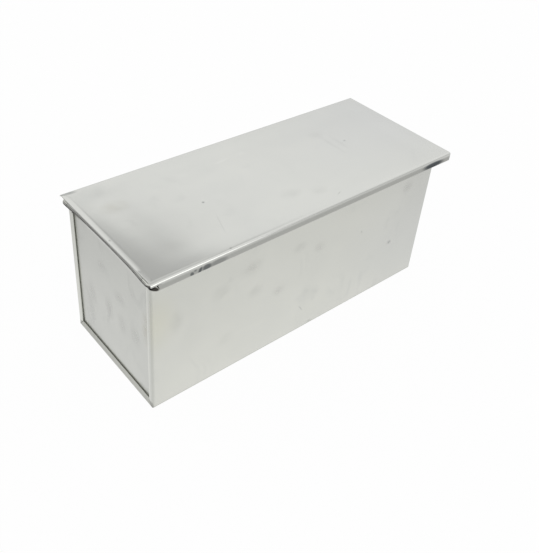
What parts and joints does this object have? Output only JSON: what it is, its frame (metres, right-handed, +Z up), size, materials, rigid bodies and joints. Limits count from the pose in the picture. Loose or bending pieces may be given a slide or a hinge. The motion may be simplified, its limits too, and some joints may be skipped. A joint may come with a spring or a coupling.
{
  "type": "lidded loaf pan",
  "caption": "Straight-sided sheet-metal loaf pan with folded end seams, a rolled wired rim and a flat lid whose channelled sides slide along the rim.",
  "frame": {"origin": "centre of the underside of the base, on the surface that the pan stands on", "axes": "+X along the pan towards the end that the lid stands past, +Y across the pan away from the side shown in the picture, +Z up"},
  "size_m": [0.317, 0.129, 0.1319],
  "materials": {
    "pan_sheet": "bright tinned sheet steel, satin with faint handling marks",
    "lid_sheet": "bright tinned sheet steel, satin with faint smudges",
    "rim_wire": "drawn steel wire"
  },
  "bodies": {
    "pan": {"pan_wrap": "pan_sheet", "end_panel_left": "pan_sheet", "end_panel_right": "pan_sheet", "rim_wire": "rim_wire"},
    "lid": {"lid": "lid_sheet"}
  },
  "joints": [
    {"name": "lid_slide", "type": "slide", "parent": "pan", "child": "lid", "axis": [1, 0, 0], "range_m": [0, 0.32]}
  ]
}
